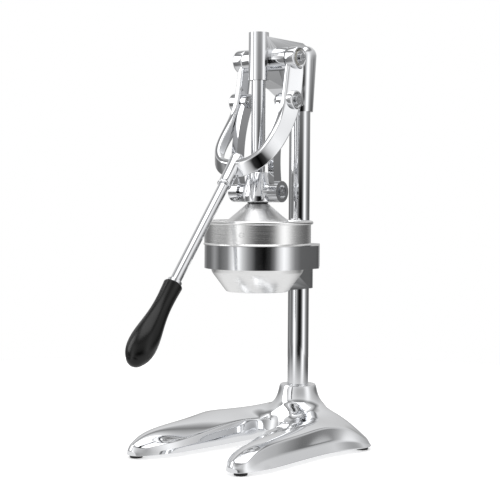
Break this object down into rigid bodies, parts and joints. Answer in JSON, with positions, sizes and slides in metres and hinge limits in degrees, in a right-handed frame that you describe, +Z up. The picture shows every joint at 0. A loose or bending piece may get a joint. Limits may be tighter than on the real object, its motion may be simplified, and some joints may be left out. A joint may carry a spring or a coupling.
{
  "type": "lever citrus press",
  "caption": "Countertop citrus press: a hand lever drives a bell down over a reamer in a ring-mounted funnel bowl, on a column and horseshoe base.",
  "frame": {"origin": "on the table, under the middle of the whole press's bounding box", "axes": "+Z up along the column, -Y towards the front where the lever points, +X to the right seen from the front"},
  "size_m": [0.2226, 0.3226, 0.475],
  "materials": {
    "chrome_casting": "chrome plated casting, mirror polish",
    "polished_casting": "chrome plated casting, fine turned",
    "chrome_tube": "chrome plated steel, bright",
    "stainless_sheet": "pressed stainless sheet, polished",
    "brushed_stainless": "spun stainless sheet, brushed round",
    "cast_aluminium": "cast aluminium, tumbled",
    "steel_fastener": "zinc plated steel",
    "black_rubber": "moulded black rubber",
    "grip_plastic": "moulded black plastic, gloss",
    "nylon": "turned white nylon"
  },
  "bodies": {
    "root": {"base_casting": "chrome_casting", "foot_pads": "black_rubber", "foot_screws": "steel_fastener", "column_tube": "chrome_tube", "column_plug": "steel_fastener", "base_washer": "steel_fastener", "base_bolt": "steel_fastener", "funnel_bowl": "stainless_sheet", "rim_rivets": "stainless_sheet", "strainer_dish": "stainless_sheet", "reamer_cone": "cast_aluminium", "ring_bracket": "polished_casting", "ring_set_screws": "steel_fastener", "head_casting": "chrome_casting", "head_set_screws": "steel_fastener", "guide_bushes": "nylon", "upper_pivot_shaft": "steel_fastener", "upper_pivot_washers": "steel_fastener", "upper_pivot_bolts": "steel_fastener"},
    "lever": {"fork_casting": "chrome_casting", "fork_bushes": "nylon", "lever_rod": "chrome_tube", "socket_pin": "steel_fastener", "lever_ferrule": "chrome_tube", "grip_collar": "chrome_tube", "lever_grip": "grip_plastic", "middle_pivot_washers": "steel_fastener", "middle_pivot_bolts": "steel_fastener", "middle_pivot_nuts": "steel_fastener"},
    "links": {"link_left": "chrome_casting", "link_right": "chrome_casting", "link_bushes": "nylon", "lower_pivot_bolts": "steel_fastener"},
    "press_head": {"press_rod": "chrome_tube", "press_head_hub": "chrome_casting", "hub_set_screw": "steel_fastener", "lug_studs": "steel_fastener", "bell_gasket": "black_rubber", "press_bell": "brushed_stainless", "bell_screw": "steel_fastener"}
  },
  "joints": [
    {"name": "lever_hinge", "type": "hinge", "parent": "root", "child": "lever", "pos_m": [0, 0.0741, 0.446], "axis": [-1, 0, 0], "range_deg": [0, 105]},
    {"name": "link_hinge", "type": "hinge", "parent": "lever", "child": "links", "pos_m": [0, 0.0671, 0.398], "axis": [-1, 0, 0], "range_deg": [-126.4, 0]},
    {"name": "head_slide", "type": "slide", "parent": "root", "child": "press_head", "axis": [0, 0, 1], "range_m": [0, 0.0698]}
  ],
  "couplings": [
    {"joint": "link_hinge", "follows": "lever_hinge", "ratio": -1.1988},
    {"joint": "head_slide", "follows": "lever_hinge", "m_per_rad": 0.037822}
  ]
}
